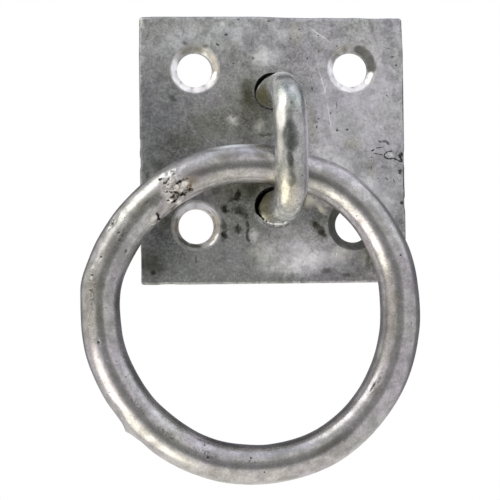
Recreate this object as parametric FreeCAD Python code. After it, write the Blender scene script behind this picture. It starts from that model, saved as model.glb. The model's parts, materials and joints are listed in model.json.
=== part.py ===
import FreeCAD, Part
import os
from math import cos, pi, radians, sin, sqrt, tan

# Ring on plate: a welded tie ring that hangs in a wire staple riveted through a square plate.
# Galvanised steel, in millimetres, +Z up. The plate stands upright with its back face on Y = 0
# and faces -Y. The origin is the middle of the four screw holes, on the back face.

# Plate, sheared from flat bar; its holes sit a little off the middle of the blank
plate_width = 50.65
plate_height = 51.1
plate_thickness = 3.0
plate_middle_x = -0.25
plate_middle_z = -0.5
plate_corner_radius = 0.9
plate_edge_round = 0.4

# Four screw holes, countersunk from the front
screw_spacing_x = 30.0
screw_spacing_z = 30.0
screw_bore = 6.7
screw_sink = 9.7
screw_sink_angle = 90.0

# Staple, one round wire bent to a U whose two legs go through the plate. Just in front of the
# plate both legs are knocked to the right, and by this much of a turn downwards from there
staple_wire = 6.1
staple_pitch = 21.6
staple_middle_x = -0.35
staple_middle_z = -0.53
staple_reach = 13.9
staple_bend_radius = 6.0
staple_knock = 10.4
staple_knock_fall = 13.0
staple_knock_radius = 9.0

# Holes in which the legs sit with play, and the riveted heads that fill a countersink at the back
leg_hole = 7.1
leg_hole_pitch = 22.0
leg_hole_middle_x = -0.2
leg_hole_middle_z = -0.3
rivet_depth = 1.0
rivet_angle = 90.0

# Ring, one round wire bent to a circle and butt welded
ring_wire = 7.4
ring_inside = 48.6
ring_offset = 5.5
ring_gap = 0.37
weld_angle = 117.0
weld_length = 6.4
weld_swell = 0.35

# Places that follow from the sizes above
up = FreeCAD.Vector(0, 0, 1)
out = FreeCAD.Vector(0, -1, 0)
right = FreeCAD.Vector(1, 0, 0)
front_y = -plate_thickness
hole_heights = (leg_hole_middle_z + leg_hole_pitch / 2, leg_hole_middle_z - leg_hole_pitch / 2)
leg_heights = (staple_middle_z + staple_pitch / 2, staple_middle_z - staple_pitch / 2)
knock = radians(staple_knock)
fall = radians(staple_knock_fall)
aside = right * cos(fall) - up * sin(fall)
lean_way = out * cos(knock) + aside * sin(knock)
crown_way = (up - lean_way * up.dot(lean_way)).normalize()

# The ring's wire runs midway between the plate and the staple's crown
ring_y = front_y - (staple_reach - staple_wire / 2) / 2
ring_radius = (ring_inside + ring_wire) / 2

# The ring hangs on the lower leg, beside which its middle has slid to the left
knock_out = staple_knock_radius * sin(knock)
aside_at_ring = staple_knock_radius * (1 - cos(knock)) + (front_y - ring_y - knock_out) * tan(knock)
leg_at_ring = FreeCAD.Vector(staple_middle_x, ring_y, leg_heights[1]) + aside * aside_at_ring
leg_from_ring_middle = ring_inside / 2 - ring_gap - staple_wire / 2
ring_x = leg_at_ring.x - ring_offset
ring_z = leg_at_ring.z - sqrt(leg_from_ring_middle ** 2 - ring_offset ** 2)
swing_z = ring_z + sqrt(ring_radius ** 2 - ring_offset ** 2)


def rounded_rectangle(width, height, middle_x, middle_z, radius, y):
    """Closed wire of a rectangle with round corners, in the plane at y."""
    half_w = width / 2 - radius
    half_h = height / 2 - radius
    corners = ((1, 1, 0), (-1, 1, 90), (-1, -1, 180), (1, -1, 270))
    edges = []
    last = None
    first = None
    for side_x, side_z, start in corners:
        middle = FreeCAD.Vector(middle_x + side_x * half_w, y, middle_z + side_z * half_h)
        ends = []
        for turn in (0, 45, 90):
            angle = radians(start + turn)
            ends.append(middle + right * (radius * cos(angle)) + up * (radius * sin(angle)))
        if last is None:
            first = ends[0]
        else:
            edges.append(Part.makeLine(last, ends[0]))
        edges.append(Part.Arc(*ends).toShape())
        last = ends[2]
    edges.append(Part.makeLine(last, first))
    return Part.Wire(edges)


def sink_depth(outer, inner, angle):
    """How deep a cone of this angle goes while it narrows from one diameter to another."""
    return (outer - inner) / 2 / tan(radians(angle) / 2)


def make_plate():
    """Sheared blank with its front rim eased, then the screw holes and the leg holes."""
    outline = rounded_rectangle(plate_width, plate_height, plate_middle_x, plate_middle_z,
                                plate_corner_radius, 0)
    plate = Part.Face(outline).extrude(out * plate_thickness)
    rim = [edge for edge in plate.Edges if abs(edge.BoundBox.YMax - front_y) < 1e-6]
    plate = plate.makeFillet(plate_edge_round, rim)
    depth = sink_depth(screw_sink, screw_bore, screw_sink_angle)
    for side_x in (-1, 1):
        for side_z in (-1, 1):
            x = side_x * screw_spacing_x / 2
            z = side_z * screw_spacing_z / 2
            bore = Part.makeCylinder(screw_bore / 2, plate_thickness, FreeCAD.Vector(x, 0, z), out)
            mouth = FreeCAD.Vector(x, front_y, z)
            sink = Part.makeCone(screw_sink / 2, screw_bore / 2, depth, mouth, -out)
            plate = plate.cut(bore).cut(sink)
    for z in hole_heights:
        foot = FreeCAD.Vector(leg_hole_middle_x, 0, z)
        hole = Part.makeCylinder(leg_hole / 2, plate_thickness, foot, out)
        plate = plate.cut(hole).cut(rivet_head(z))
    return plate


def rivet_head(z):
    """Upset end of a leg: the cone that fills the countersink in the back of the plate."""
    wide = leg_hole / 2 + rivet_depth * tan(radians(rivet_angle) / 2)
    foot = FreeCAD.Vector(leg_hole_middle_x, 0, z)
    return Part.makeCone(wide, leg_hole / 2, rivet_depth, foot, out)


def leg_path(z, side):
    """One leg from the back face to the crown: straight, knocked aside, then bent inwards."""
    back = FreeCAD.Vector(staple_middle_x, 0, z)
    face = back + out * plate_thickness
    pivot = face + aside * staple_knock_radius
    half = pivot - (aside * cos(knock / 2) - out * sin(knock / 2)) * staple_knock_radius
    leant = pivot - (aside * cos(knock) - out * sin(knock)) * staple_knock_radius
    # The upper leg is the longer, as the crown stands square to legs that point a little down
    longer = -up.dot(lean_way) * staple_pitch * side / 2
    straight = (staple_reach - knock_out) / cos(knock) - staple_bend_radius + longer
    inwards = crown_way * -side
    bend_start = leant + lean_way * straight
    bend_middle = bend_start + inwards * staple_bend_radius
    share = staple_bend_radius * sqrt(0.5)
    bend_half = bend_middle + lean_way * share - inwards * share
    bend_end = bend_middle + lean_way * staple_bend_radius
    edges = [Part.makeLine(back, face),
             Part.Arc(face, half, leant).toShape(),
             Part.makeLine(leant, bend_start),
             Part.Arc(bend_start, bend_half, bend_end).toShape()]
    return edges, bend_end


def make_staple():
    """Wire swept along leg, crown and leg, with a riveted head at each end."""
    upper_edges, crown_top = leg_path(leg_heights[0], 1)
    lower_edges, crown_foot = leg_path(leg_heights[1], -1)
    path = Part.Wire(upper_edges + [Part.makeLine(crown_top, crown_foot)] + lower_edges[::-1])
    start = FreeCAD.Vector(staple_middle_x, 0, leg_heights[0])
    section = Part.Wire(Part.makeCircle(staple_wire / 2, start, out))
    wire = path.makePipeShell([section], True, False)
    expected = pi * staple_wire ** 2 / 4 * path.Length
    print("staple wire", round(path.Length, 2), "mm long, volume over expected",
          round(wire.Volume / expected, 4))
    heads = [rivet_head(z) for z in hole_heights]
    return wire.fuse(heads).removeSplitter()


def make_ring():
    """Torus with the low swelling that the butt weld left round the wire."""
    middle = FreeCAD.Vector(ring_x, ring_y, ring_z)
    ring = Part.makeTorus(ring_radius, ring_wire / 2, middle, out)
    angle = radians(weld_angle)
    along = FreeCAD.Vector(-sin(angle), 0, cos(angle))
    across = FreeCAD.Vector(cos(angle), 0, sin(angle))
    weld_middle = middle + across * ring_radius
    sunk = (weld_length / 2) ** 2 / ring_radius
    end_radius = ring_wire / 2 - sunk
    foot = weld_middle - along * (weld_length / 2)
    head = weld_middle + along * (weld_length / 2)
    crest = weld_middle + across * (ring_wire / 2 + weld_swell)
    low = foot + across * end_radius
    high = head + across * end_radius
    profile = Part.Wire([Part.makeLine(foot, low), Part.Arc(low, crest, high).toShape(),
                         Part.makeLine(high, head), Part.makeLine(head, foot)])
    swelling = Part.Face(profile).revolve(weld_middle, along, 360)
    return ring.fuse(swelling)


parts = {
    "mounting_plate": make_plate(),
    "staple": make_staple(),
    "ring": make_ring(),
}

os.makedirs("parts", exist_ok=True)
for name, shape in parts.items():
    shape.exportStep(os.path.join("parts", name + ".step"))
    box = shape.BoundBox
    print(name, "solids", len(shape.Solids), "valid", shape.isValid(), "volume", round(shape.Volume, 1),
          "X", round(box.XMin, 2), round(box.XMax, 2), "Y", round(box.YMin, 2), round(box.YMax, 2),
          "Z", round(box.ZMin, 2), round(box.ZMax, 2))
print("ring middle", round(ring_x, 3), round(ring_y, 3), round(ring_z, 3))
print("swing axis at", round(leg_at_ring.x, 3), round(ring_y, 3), round(swing_z, 3))
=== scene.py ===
import bmesh
import bpy
import json
import math
import random
from mathutils import Matrix, Vector, kdtree


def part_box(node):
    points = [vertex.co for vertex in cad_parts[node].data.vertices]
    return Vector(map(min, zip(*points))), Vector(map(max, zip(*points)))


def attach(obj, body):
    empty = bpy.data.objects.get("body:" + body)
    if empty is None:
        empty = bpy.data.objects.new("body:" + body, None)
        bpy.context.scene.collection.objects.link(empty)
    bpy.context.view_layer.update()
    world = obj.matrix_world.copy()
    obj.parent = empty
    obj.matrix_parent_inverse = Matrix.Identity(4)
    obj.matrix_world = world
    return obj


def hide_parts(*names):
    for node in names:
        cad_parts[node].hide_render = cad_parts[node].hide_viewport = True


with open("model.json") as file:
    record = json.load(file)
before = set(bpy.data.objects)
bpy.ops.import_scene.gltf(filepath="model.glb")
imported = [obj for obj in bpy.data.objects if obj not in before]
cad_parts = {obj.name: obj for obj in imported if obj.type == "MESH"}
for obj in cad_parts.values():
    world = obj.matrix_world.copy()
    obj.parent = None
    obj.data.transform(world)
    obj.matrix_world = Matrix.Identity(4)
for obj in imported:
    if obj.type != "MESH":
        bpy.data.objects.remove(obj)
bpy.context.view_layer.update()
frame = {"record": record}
print("Frame loaded")

mm = 0.001
plateLow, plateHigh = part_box("mounting_plate")
ringLow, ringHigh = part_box("ring")
plateMiddle = (plateLow + plateHigh) / 2
ringMiddle = (ringLow + ringHigh) / 2
ringOuter = (ringHigh.x - ringLow.x) / 2
front = plateLow.y


# Camera, tent and lamps

cameraView = {
    "aim": (-4.88, -3.0, -19.64),  # mm
    "away": 280.0,
    "yaw": 3.79,  # degrees to the right
    "pitch": 2.1,
    "roll": -0.71,
    "lens": 106.12,
}


def viewAxes():  # rightwards, upwards and ahead in the photo's frame
    yaw, pitch, roll = (math.radians(cameraView[name]) for name in ("yaw", "pitch", "roll"))
    ahead = Vector((math.sin(yaw) * math.cos(pitch), math.cos(yaw) * math.cos(pitch), math.sin(pitch)))
    across = Vector((math.cos(yaw), -math.sin(yaw), 0))
    above = across.cross(ahead)
    right = across * math.cos(roll) + above * math.sin(roll)
    return right, above * math.cos(roll) - across * math.sin(roll), ahead


def placeCamera():
    right, top, ahead = viewAxes()
    place = (Vector(cameraView["aim"]) - ahead * cameraView["away"]) * mm
    data = bpy.data.cameras.new("photoCamera")
    data.lens = cameraView["lens"]
    data.clip_start, data.clip_end = 0.01, 10
    camera = bpy.data.objects.new("photoCamera", data)
    bpy.context.collection.objects.link(camera)
    camera.matrix_world = Matrix.Translation(place) @ Matrix((right, top, -ahead)).transposed().to_4x4()
    bpy.context.scene.camera = camera


def addNode(tree, kind, inputs=None, **settings):
    node = tree.nodes.new(kind)
    for name, value in settings.items():
        setattr(node, name, value)
    for name, value in (inputs or {}).items():
        if isinstance(value, bpy.types.NodeSocket):
            tree.links.new(value, node.inputs[name])
        else:
            node.inputs[name].default_value = value
    return node


def calc(tree, operation, first, second=0.0, third=0.0):
    return addNode(tree, "ShaderNodeMath", {0: first, 1: second, 2: third}, operation=operation).outputs[0]


def along(tree, operation, first, second=(0, 0, 0)):
    node = addNode(tree, "ShaderNodeVectorMath", {0: first, 1: second}, operation=operation)
    return node.outputs["Value" if operation in ("LENGTH", "DOT_PRODUCT") else "Vector"]


def ease(tree, value, low, high):  # 0 at low, 1 at high
    node = addNode(tree, "ShaderNodeMapRange", {"Value": value, "From Min": low, "From Max": high},
                   interpolation_type="SMOOTHSTEP")
    return node.outputs["Result"]


def blendColour(tree, share, first, second, kind="MIX"):
    node = addNode(tree, "ShaderNodeMix", data_type="RGBA", blend_type=kind)
    for socket, value in ((0, share), (6, first), (7, second)):
        if isinstance(value, bpy.types.NodeSocket):
            tree.links.new(value, node.inputs[socket])
        else:
            node.inputs[socket].default_value = value if socket == 0 else (*value, 1)
    return node.outputs[2]


lightTent = {
    "radius": 0.6,
    "walls": (0.60, 0.59, 0.59),
    "patches": [  # degrees round the view from the right, and away from the camera; full and gone; colour
        (0, 180, 45, 70, (0.15, 0.15, 0.165)),
        (270, 125, 22, 52, (0.80, 0.78, 0.75)),
        (12, 124, 24, 44, (0.11, 0.11, 0.12)),
        (90, 130, 20, 38, (0.07, 0.07, 0.08)),
        (90, 75, 14, 40, (0.58, 0.61, 0.69)),
        (0, 65, 14, 40, (0.50, 0.49, 0.50)),
        (180, 65, 14, 36, (0.50, 0.475, 0.435)),
        (270, 68, 18, 44, (0.84, 0.81, 0.75)),
        (50, 80, 16, 40, (0.94, 0.96, 1.03)),
        (223, 61, 13, 30, (2.1, 2.03, 1.78)),
        (135, 70, 10, 28, (2.06, 2.08, 1.98)),
        (240, 4, 14, 28, (0.164, 0.168, 0.154)),
        (295, 17, 5, 18, (0.09, 0.095, 0.095)),
    ],
    "surround": 0.62,
    "lamps": [  # name, place in m, size in m, watts, colour
        ("warmBox", (-0.55, -0.45, -0.02), 0.5, 5.0, (1.0, 0.95, 0.88)),
        ("coolBox", (0.45, -0.5, 0.5), 0.5, 5.0, (0.93, 0.95, 1.0)),
    ],
    "floorHeight": -0.1,
    "floorReach": (-0.4, 0.2),
    "floorWidth": 1.0,
    "floorTones": ((0.86, 0.86, 0.86), (0.9, 0.9, 0.895)),
    "floorGrain": 30.0,  # to the metre
    "floorRough": 0.8,
}


def wayTo(around, away):
    right, top, ahead = viewAxes()
    around, away = math.radians(around), math.radians(away)
    sideways = right * math.cos(around) + top * math.sin(around)
    return sideways * math.sin(away) - ahead * math.cos(away)


def setWorld():
    world = bpy.data.worlds.new("whiteSurround")
    bpy.context.scene.world = world
    world.use_nodes = True
    tree = world.node_tree
    tree.nodes.clear()
    path = addNode(tree, "ShaderNodeLightPath").outputs
    seen = calc(tree, "MAXIMUM", path["Is Camera Ray"], path["Is Glossy Ray"])
    seen = calc(tree, "MAXIMUM", seen, path["Is Transmission Ray"])
    colour = blendColour(tree, seen, (lightTent["surround"],) * 3, (1, 1, 1))
    shader = addNode(tree, "ShaderNodeBackground", {"Color": colour, "Strength": 1.0})
    addNode(tree, "ShaderNodeOutputWorld", {"Surface": shader.outputs[0]})


def raiseTent():  # only reflections show it
    bpy.ops.object.select_all(action="DESELECT")
    bpy.ops.mesh.primitive_uv_sphere_add(segments=64, ring_count=32, radius=lightTent["radius"])
    tent = bpy.context.object
    tent.name = "lightTent"
    material = bpy.data.materials.new("tentCloth")
    material.use_nodes = True
    material.cycles.emission_sampling = "NONE"
    tree = material.node_tree
    tree.nodes.clear()
    place = addNode(tree, "ShaderNodeTexCoord").outputs["Object"]
    way = along(tree, "NORMALIZE", place)
    colour = lightTent["walls"]
    for around, away, full, gone, patch in lightTent["patches"]:
        near = along(tree, "DOT_PRODUCT", way, wayTo(around, away))
        share = ease(tree, near, math.cos(math.radians(gone)), math.cos(math.radians(full)))
        colour = blendColour(tree, share, colour, patch)
    shader = addNode(tree, "ShaderNodeEmission", {"Color": colour, "Strength": 1.0})
    addNode(tree, "ShaderNodeOutputMaterial", {"Surface": shader.outputs[0]})
    tent.data.materials.append(material)
    tent.visible_camera = False
    tent.visible_diffuse = False
    tent.visible_shadow = False


def hangLamps():
    for name, place, size, watts, colour in lightTent["lamps"]:
        data = bpy.data.lights.new(name, "AREA")
        data.size = size
        data.energy = watts
        data.color = colour
        lamp = bpy.data.objects.new(name, data)
        bpy.context.collection.objects.link(lamp)
        lamp.location = place
        lamp.rotation_euler = (plateMiddle - lamp.location).to_track_quat("-Z", "Y").to_euler()
        lamp.visible_glossy = False


def layFloor():
    nearest, furthest = lightTent["floorReach"]
    bpy.ops.object.select_all(action="DESELECT")
    bpy.ops.mesh.primitive_plane_add(size=1)
    floor = bpy.context.object
    floor.name = "studioFloor"
    bpy.ops.object.mode_set(mode="EDIT")
    bpy.ops.transform.resize(value=(lightTent["floorWidth"], furthest - nearest, 1))
    bpy.ops.transform.translate(value=(0, (nearest + furthest) / 2, lightTent["floorHeight"]))
    bpy.ops.object.mode_set(mode="OBJECT")
    material = bpy.data.materials.new("paleFloor")
    material.use_nodes = True
    tree = material.node_tree
    shader = tree.nodes["Principled BSDF"]
    place = addNode(tree, "ShaderNodeTexCoord").outputs["Object"]
    scale = lightTent["floorGrain"]
    grain = addNode(tree, "ShaderNodeTexNoise", {"Vector": place, "Scale": scale}).outputs["Fac"]
    tree.links.new(blendColour(tree, grain, *lightTent["floorTones"]), shader.inputs["Base Color"])
    shader.inputs["Roughness"].default_value = lightTent["floorRough"]
    floor.data.materials.append(material)
    floor.visible_glossy = False


bpy.context.scene.view_settings.view_transform = "Standard"
placeCamera()
setWorld()
raiseTent()
hangLamps()
layFloor()
print("Camera, tent and lamps ready")


# Hand tools

def makeActive(piece):
    if bpy.context.object and bpy.context.object.mode != "OBJECT":
        bpy.ops.object.mode_set(mode="OBJECT")
    bpy.ops.object.select_all(action="DESELECT")
    piece.select_set(True)
    bpy.context.view_layer.objects.active = piece


def startPiece(name):  # the primitive just added becomes the piece, with its place in its mesh
    piece = bpy.context.object
    piece.name = name
    bpy.ops.object.transform_apply(location=True, rotation=True, scale=True)
    return piece


def editPiece(piece, kind="VERT"):
    makeActive(piece)
    bpy.ops.object.mode_set(mode="EDIT")
    bpy.ops.mesh.select_mode(type=kind)
    bpy.ops.mesh.select_all(action="DESELECT")


def leavePiece():
    bpy.ops.object.mode_set(mode="OBJECT")


def pickVerts(piece, test):
    mesh = bmesh.from_edit_mesh(piece.data)
    for vert in mesh.verts:
        if not vert.hide:
            vert.select_set(test(vert.co))
    mesh.select_flush_mode()
    bmesh.update_edit_mesh(piece.data)


def moveSoftly(shift, reach):
    bpy.ops.transform.translate(value=shift, use_proportional_edit=True, proportional_size=reach,
                                proportional_edit_falloff="SMOOTH")


def pushSpots(piece, spots):  # each spot: place, shift and reach, in metres
    mesh = bmesh.from_edit_mesh(piece.data)
    places = kdtree.KDTree(len(mesh.verts))
    for index, vert in enumerate(mesh.verts):
        if not vert.hide:
            places.insert(vert.co, index)
    places.balance()
    for place, shift, reach in spots:
        bpy.ops.mesh.select_all(action="DESELECT")
        mesh = bmesh.from_edit_mesh(piece.data)
        mesh.verts.ensure_lookup_table()
        mesh.verts[places.find(place)[1]].select_set(True)
        bmesh.update_edit_mesh(piece.data)
        moveSoftly(shift, reach)


def hideBeyond(piece, place, reach):
    pickVerts(piece, lambda co: (co - place).length > reach)
    bpy.ops.mesh.hide(unselected=False)


def applyChange(piece, kind, **settings):
    makeActive(piece)
    change = piece.modifiers.new(kind.lower(), kind)
    for name, value in settings.items():
        setattr(change, name, value)
    bpy.ops.object.modifier_apply(modifier=change.name)


def swell(piece, size, strength):  # slow hollows and rises, both in mm
    clouds = bpy.data.textures.new(piece.name + "Swells", "CLOUDS")
    clouds.noise_scale = size * mm
    clouds.noise_depth = 2
    applyChange(piece, "DISPLACE", texture=clouds, strength=strength * mm, mid_level=0.5,
                texture_coords="LOCAL")


def growEdge(middle, steps, shape):  # shape gives width, height and y at a share of the stretch
    last = shape(0)
    for step in range(1, steps + 1):
        now = shape(step / steps)
        bpy.ops.mesh.extrude_edges_move(TRANSFORM_OT_translate={"value": (0, now[2] - last[2], 0)})
        bpy.ops.transform.resize(value=(now[0] / last[0], 1, now[1] / last[1]), center_override=middle)
        last = now


def keepWithin(piece, low, high):  # flattens the little that stands out of its own box
    editPiece(piece)
    for axis in range(3):
        flat = tuple(0 if other == axis else 1 for other in range(3))
        for limit, side in ((low, -1), (high, 1)):
            bpy.ops.mesh.select_all(action="DESELECT")
            pickVerts(piece, lambda co: (co[axis] - limit[axis]) * side > 0)
            bpy.ops.transform.resize(value=flat, center_override=limit)
    leavePiece()


def dressPiece(piece, material, angle):  # faces that meet at less than the angle look round
    piece.data.materials.clear()
    piece.data.materials.append(material)
    makeActive(piece)
    bpy.ops.object.shade_smooth_by_angle(angle=math.radians(angle))


# Finishes

zincNoise = {
    "detail": 0.58,  # how strong each finer layer of a noise is
    "hueShift": (0.31, 0.17, 0.23),  # m, so that the hue's clouds lie elsewhere
    "clouds": (0.36, 0.64),  # where a noise starts and ends to count
    "grains": (0.32, 0.68),
    "hues": (0.35, 0.65),
    "specks": (0.46, 0.58),
    "tornSize": 0.45,  # mm
}


def newGroup(name, inputs, outputs):
    group = bpy.data.node_groups.new(name, "ShaderNodeTree")
    for label, kind, value in inputs:
        socket = group.interface.new_socket(label, in_out="INPUT", socket_type="NodeSocket" + kind)
        socket.default_value = value
    for label in outputs:
        group.interface.new_socket(label, in_out="OUTPUT", socket_type="NodeSocketFloat")
    return group, group.nodes.new("NodeGroupInput").outputs, group.nodes.new("NodeGroupOutput").inputs


def useGroup(tree, group, inputs):
    node = tree.nodes.new("ShaderNodeGroup")
    node.node_tree = group
    for name, value in inputs.items():
        if isinstance(value, bpy.types.NodeSocket):
            tree.links.new(value, node.inputs[name])
        else:
            node.inputs[name].default_value = value
    return node.outputs


def noiseAt(tree, place, size, detail=3.0):  # size in mm, from a socket
    scale = calc(tree, "DIVIDE", 1 / mm, size)
    return addNode(tree, "ShaderNodeTexNoise", {"Vector": place, "Scale": scale, "Detail": detail,
                   "Roughness": zincNoise["detail"]}).outputs


def makeToneGroup():  # clouds of lighter and darker zinc, with a fine grain over them
    group, enter, leave = newGroup("zincTone", [
        ("Place", "Vector", (0, 0, 0)), ("Broad", "Float", 12.0), ("Middling", "Float", 3.0),
        ("Fine", "Float", 0.5), ("Share", "Float", 0.5)], ["Cloud", "Grain", "Hue"])
    broad = noiseAt(group, enter["Place"], enter["Broad"], 4.0)["Fac"]
    middling = noiseAt(group, enter["Place"], enter["Middling"], 4.0)["Fac"]
    fine = noiseAt(group, enter["Place"], enter["Fine"], 2.0)["Fac"]
    hue = noiseAt(group, along(group, "ADD", enter["Place"], zincNoise["hueShift"]), enter["Broad"])["Fac"]
    mixed = calc(group, "MULTIPLY", calc(group, "SUBTRACT", middling, broad), enter["Share"])
    group.links.new(ease(group, calc(group, "ADD", broad, mixed), *zincNoise["clouds"]), leave["Cloud"])
    group.links.new(ease(group, fine, *zincNoise["grains"]), leave["Grain"])
    group.links.new(ease(group, hue, *zincNoise["hues"]), leave["Hue"])
    return group


def makePitGroup():  # scattered dots, in a share of the cells of a Voronoi pattern
    group, enter, leave = newGroup("pinPits", [
        ("Place", "Vector", (0, 0, 0)), ("Spacing", "Float", 1.0), ("Width", "Float", 0.25),
        ("Share", "Float", 0.3)], ["Mask"])
    scale = calc(group, "DIVIDE", 1 / mm, enter["Spacing"])
    cells = addNode(group, "ShaderNodeTexVoronoi", {"Vector": enter["Place"], "Scale": scale}).outputs
    parts = addNode(group, "ShaderNodeSeparateColor", {"Color": cells["Color"]}).outputs
    chosen = calc(group, "LESS_THAN", parts["Red"], enter["Share"])
    size = calc(group, "MULTIPLY", enter["Width"], calc(group, "MULTIPLY_ADD", parts["Green"], 0.8, 0.35))
    dot = ease(group, cells["Distance"], size, calc(group, "MULTIPLY", size, 0.4))
    group.links.new(calc(group, "MULTIPLY", dot, chosen), leave["Mask"])
    return group


def makeSpotGroup():  # how far from one mark's centre, with 1 at its edge
    group, enter, leave = newGroup("markSpot", [
        ("Place", "Vector", (0, 0, 0)), ("Centre", "Vector", (0, 0, 0)), ("Size", "Vector", (1, 1, 1)),
        ("Turn", "Float", 0.0)], ["Far"])
    away = along(group, "SUBTRACT", enter["Place"], enter["Centre"])
    turned = addNode(group, "ShaderNodeVectorRotate", {"Vector": away, "Axis": (0, 1, 0),
                     "Angle": enter["Turn"]}, rotation_type="AXIS_ANGLE").outputs[0]
    group.links.new(along(group, "LENGTH", along(group, "DIVIDE", turned, enter["Size"])), leave["Far"])
    return group


zincTone = makeToneGroup()
pinPits = makePitGroup()
markSpot = makeSpotGroup()


def patternPlace(tree, place, turn, sizes):  # turned about the line of sight and stretched
    return addNode(tree, "ShaderNodeMapping", {"Vector": place, "Rotation": (0, math.radians(turn), 0),
                   "Scale": sizes}, vector_type="TEXTURE").outputs[0]


def makeZinc(name, look, marks):
    material = bpy.data.materials.new(name)
    material.use_nodes = True
    tree = material.node_tree
    shader = tree.nodes["Principled BSDF"]
    place = addNode(tree, "ShaderNodeTexCoord").outputs["Object"]
    tone = useGroup(tree, zincTone, {"Place": place, "Broad": look["broad"], "Middling": look["middling"],
                    "Fine": look["fine"], "Share": look["share"]})
    colour = blendColour(tree, tone["Cloud"], look["dark"], look["light"])
    tint = blendColour(tree, tone["Hue"], look["greenish"], look["lilac"])
    colour = blendColour(tree, 1.0, colour, tint, "MULTIPLY")
    grain = calc(tree, "MULTIPLY_ADD", tone["Grain"], 2 * look["grain"], 1 - look["grain"])
    shade = addNode(tree, "ShaderNodeCombineColor", {"Red": grain, "Green": grain, "Blue": grain}).outputs[0]
    colour = blendColour(tree, 1.0, colour, shade, "MULTIPLY")
    smooth, rough = look["rough"]
    dull = calc(tree, "MULTIPLY_ADD", tone["Cloud"], smooth - rough, rough)
    height = calc(tree, "MULTIPLY_ADD", tone["Grain"], look["grainRise"], 0.0)
    height = calc(tree, "MULTIPLY_ADD", tone["Cloud"], look["cloudRise"], height)
    torn = addNode(tree, "ShaderNodeTexNoise", {"Vector": place, "Scale": 1 / (zincNoise["tornSize"] * mm),
                   "Detail": 1.0}).outputs["Color"]
    torn = along(tree, "MULTIPLY", along(tree, "SUBTRACT", torn, (0.5, 0.5, 0.5)), (look["torn"] * mm,) * 3)
    loose = along(tree, "ADD", place, torn)
    for turn, sizes, spacing, width, share, strength, paint, rise in look["scatter"]:
        spread = patternPlace(tree, loose, turn, sizes)
        mask = useGroup(tree, pinPits, {"Place": spread, "Spacing": spacing, "Width": width,
                        "Share": share})["Mask"]
        colour = blendColour(tree, calc(tree, "MULTIPLY", mask, strength), colour, paint)
        height = calc(tree, "MULTIPLY_ADD", mask, rise, height)
    frayed = addNode(tree, "ShaderNodeTexNoise", {"Vector": place, "Scale": 1 / (look["fray"] * mm),
                     "Detail": 3.0}).outputs["Color"]
    frayed = along(tree, "SUBTRACT", frayed, (0.5, 0.5, 0.5))
    metal = look["metal"]
    for kind in marks:
        shift = along(tree, "MULTIPLY", frayed, (kind["ragged"] * mm,) * 3)
        there = along(tree, "ADD", place, shift)
        nearest = None
        for centre, size, turn in kind["spots"]:
            far = useGroup(tree, markSpot, {"Place": there, "Centre": centre, "Size": size,
                           "Turn": math.radians(turn)})["Far"]
            nearest = far if nearest is None else calc(tree, "MINIMUM", nearest, far)
        mask = ease(tree, nearest, 1.0, 1 - kind["soft"])
        if kind["hollow"]:
            inner = ease(tree, nearest, kind["hollow"] - kind["soft"], kind["hollow"])
            mask = calc(tree, "MULTIPLY", mask, inner)
        if kind["patchy"]:
            patch = calc(tree, "MULTIPLY_ADD", tone["Cloud"], kind["patchy"], 1 - kind["patchy"])
            mask = calc(tree, "MULTIPLY", mask, patch)
        if kind["speckle"]:
            specks = ease(tree, noiseAt(tree, place, kind["speckle"], 2.0)["Fac"], *zincNoise["specks"])
            mask = calc(tree, "MULTIPLY", mask, specks)
        colour = blendColour(tree, calc(tree, "MULTIPLY", mask, kind["strength"]), colour, kind["paint"],
                             "MULTIPLY" if kind["wash"] else "MIX")
        if kind["dull"]:
            dull = calc(tree, "MULTIPLY_ADD", mask, kind["dull"], dull)
        if kind["rise"]:
            height = calc(tree, "MULTIPLY_ADD", mask, kind["rise"], height)
        if kind["metal"]:
            metal = calc(tree, "MULTIPLY_ADD", mask, kind["metal"], metal)
    tree.links.new(colour, shader.inputs["Base Color"])
    tree.links.new(dull, shader.inputs["Roughness"])
    if isinstance(metal, bpy.types.NodeSocket):
        tree.links.new(metal, shader.inputs["Metallic"])
    else:
        shader.inputs["Metallic"].default_value = metal
    bump = addNode(tree, "ShaderNodeBump", {"Height": height, "Distance": mm, "Strength": 1.0})
    tree.links.new(bump.outputs["Normal"], shader.inputs["Normal"])
    return material


def markKind(spots, paint, strength, soft=0.6, hollow=0.0, ragged=0.5, patchy=0.0, dull=0.0, rise=0.0,
             metal=0.0, speckle=0.0, wash=False):
    return {"spots": spots, "paint": paint, "strength": strength, "soft": soft, "hollow": hollow,
            "ragged": ragged, "patchy": patchy, "dull": dull, "rise": rise, "metal": metal,
            "speckle": speckle, "wash": wash}


print("Finishes ready")


# Plate

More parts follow.
